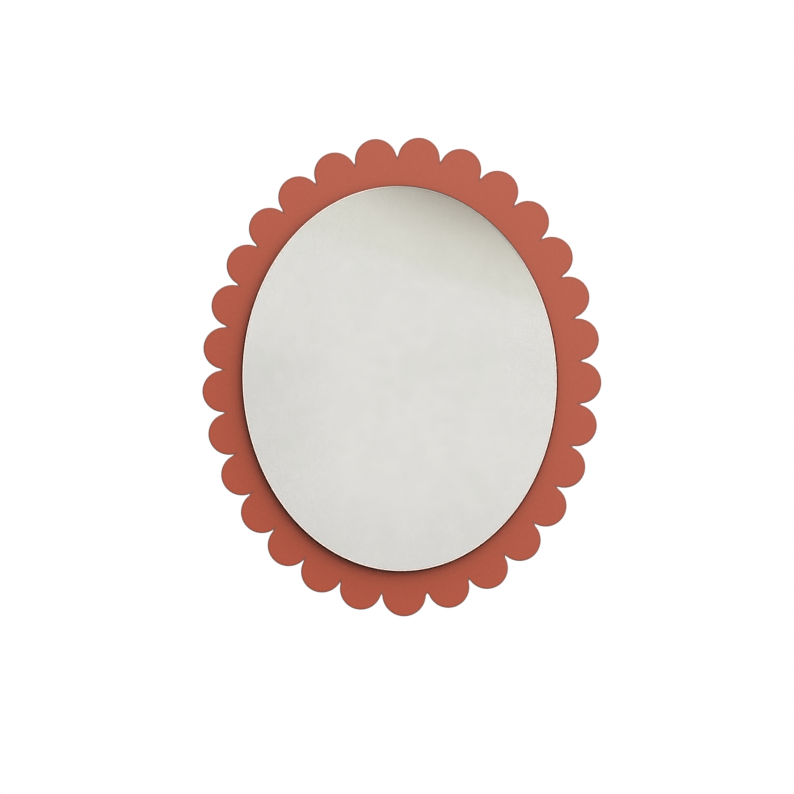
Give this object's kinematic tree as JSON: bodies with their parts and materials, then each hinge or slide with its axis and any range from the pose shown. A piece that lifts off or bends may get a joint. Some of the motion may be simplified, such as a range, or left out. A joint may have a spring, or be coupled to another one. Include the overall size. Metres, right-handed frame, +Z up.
{
  "type": "oval wall mirror",
  "caption": "Oval wall mirror: silvered glass proud on a flat lacquered board with a scalloped edge, hung by swinging wire rings on the back, with rubber bumpers against the wall.",
  "frame": {"origin": "on the wall plane, straight behind the centre of the oval that the lobes stand on", "axes": "+Z up, +X to the right of someone who looks into the mirror, +Y into the wall, so the glass faces -Y"},
  "size_m": [0.4997, 0.0335, 0.5996],
  "materials": {
    "terracotta_lacquer": "satin terracotta lacquer on fibreboard",
    "raw_board": "bare fibreboard",
    "silvered_glass": "polished silvered glass with a ground arris",
    "foam_tape": "white foam mirror tape",
    "mastic": "cured mirror mastic",
    "zinc_strap": "zinc-plated pressed strap",
    "zinc_wire": "zinc-plated wire",
    "zinc_screws": "zinc-plated screws with a cross recess",
    "bumper_rubber": "matt black rubber"
  },
  "bodies": {
    "mirror": {"scalloped_panel": "terracotta_lacquer", "mounting_board": "raw_board", "board_screws": "zinc_screws", "tape_strips": "foam_tape", "mastic_dabs": "mastic", "mirror_glass": "silvered_glass", "hanger_strap_left": "zinc_strap", "hanger_strap_right": "zinc_strap", "hanger_screws_left": "zinc_screws", "hanger_screws_right": "zinc_screws", "bumper_top_left": "bumper_rubber", "bumper_top_right": "bumper_rubber", "bumper_bottom_left": "bumper_rubber", "bumper_bottom_right": "bumper_rubber"},
    "ring_left": {"hanger_ring_left": "zinc_wire"},
    "ring_right": {"hanger_ring_right": "zinc_wire"}
  },
  "joints": [
    {"name": "ring_left_swing", "type": "hinge", "parent": "mirror", "child": "ring_left", "pos_m": [-0.095, -0.0047, 0.12], "axis": [1, 0, 0], "range_deg": [0, 180]},
    {"name": "ring_right_swing", "type": "hinge", "parent": "mirror", "child": "ring_right", "pos_m": [0.095, -0.0047, 0.12], "axis": [1, 0, 0], "range_deg": [0, 180]}
  ]
}
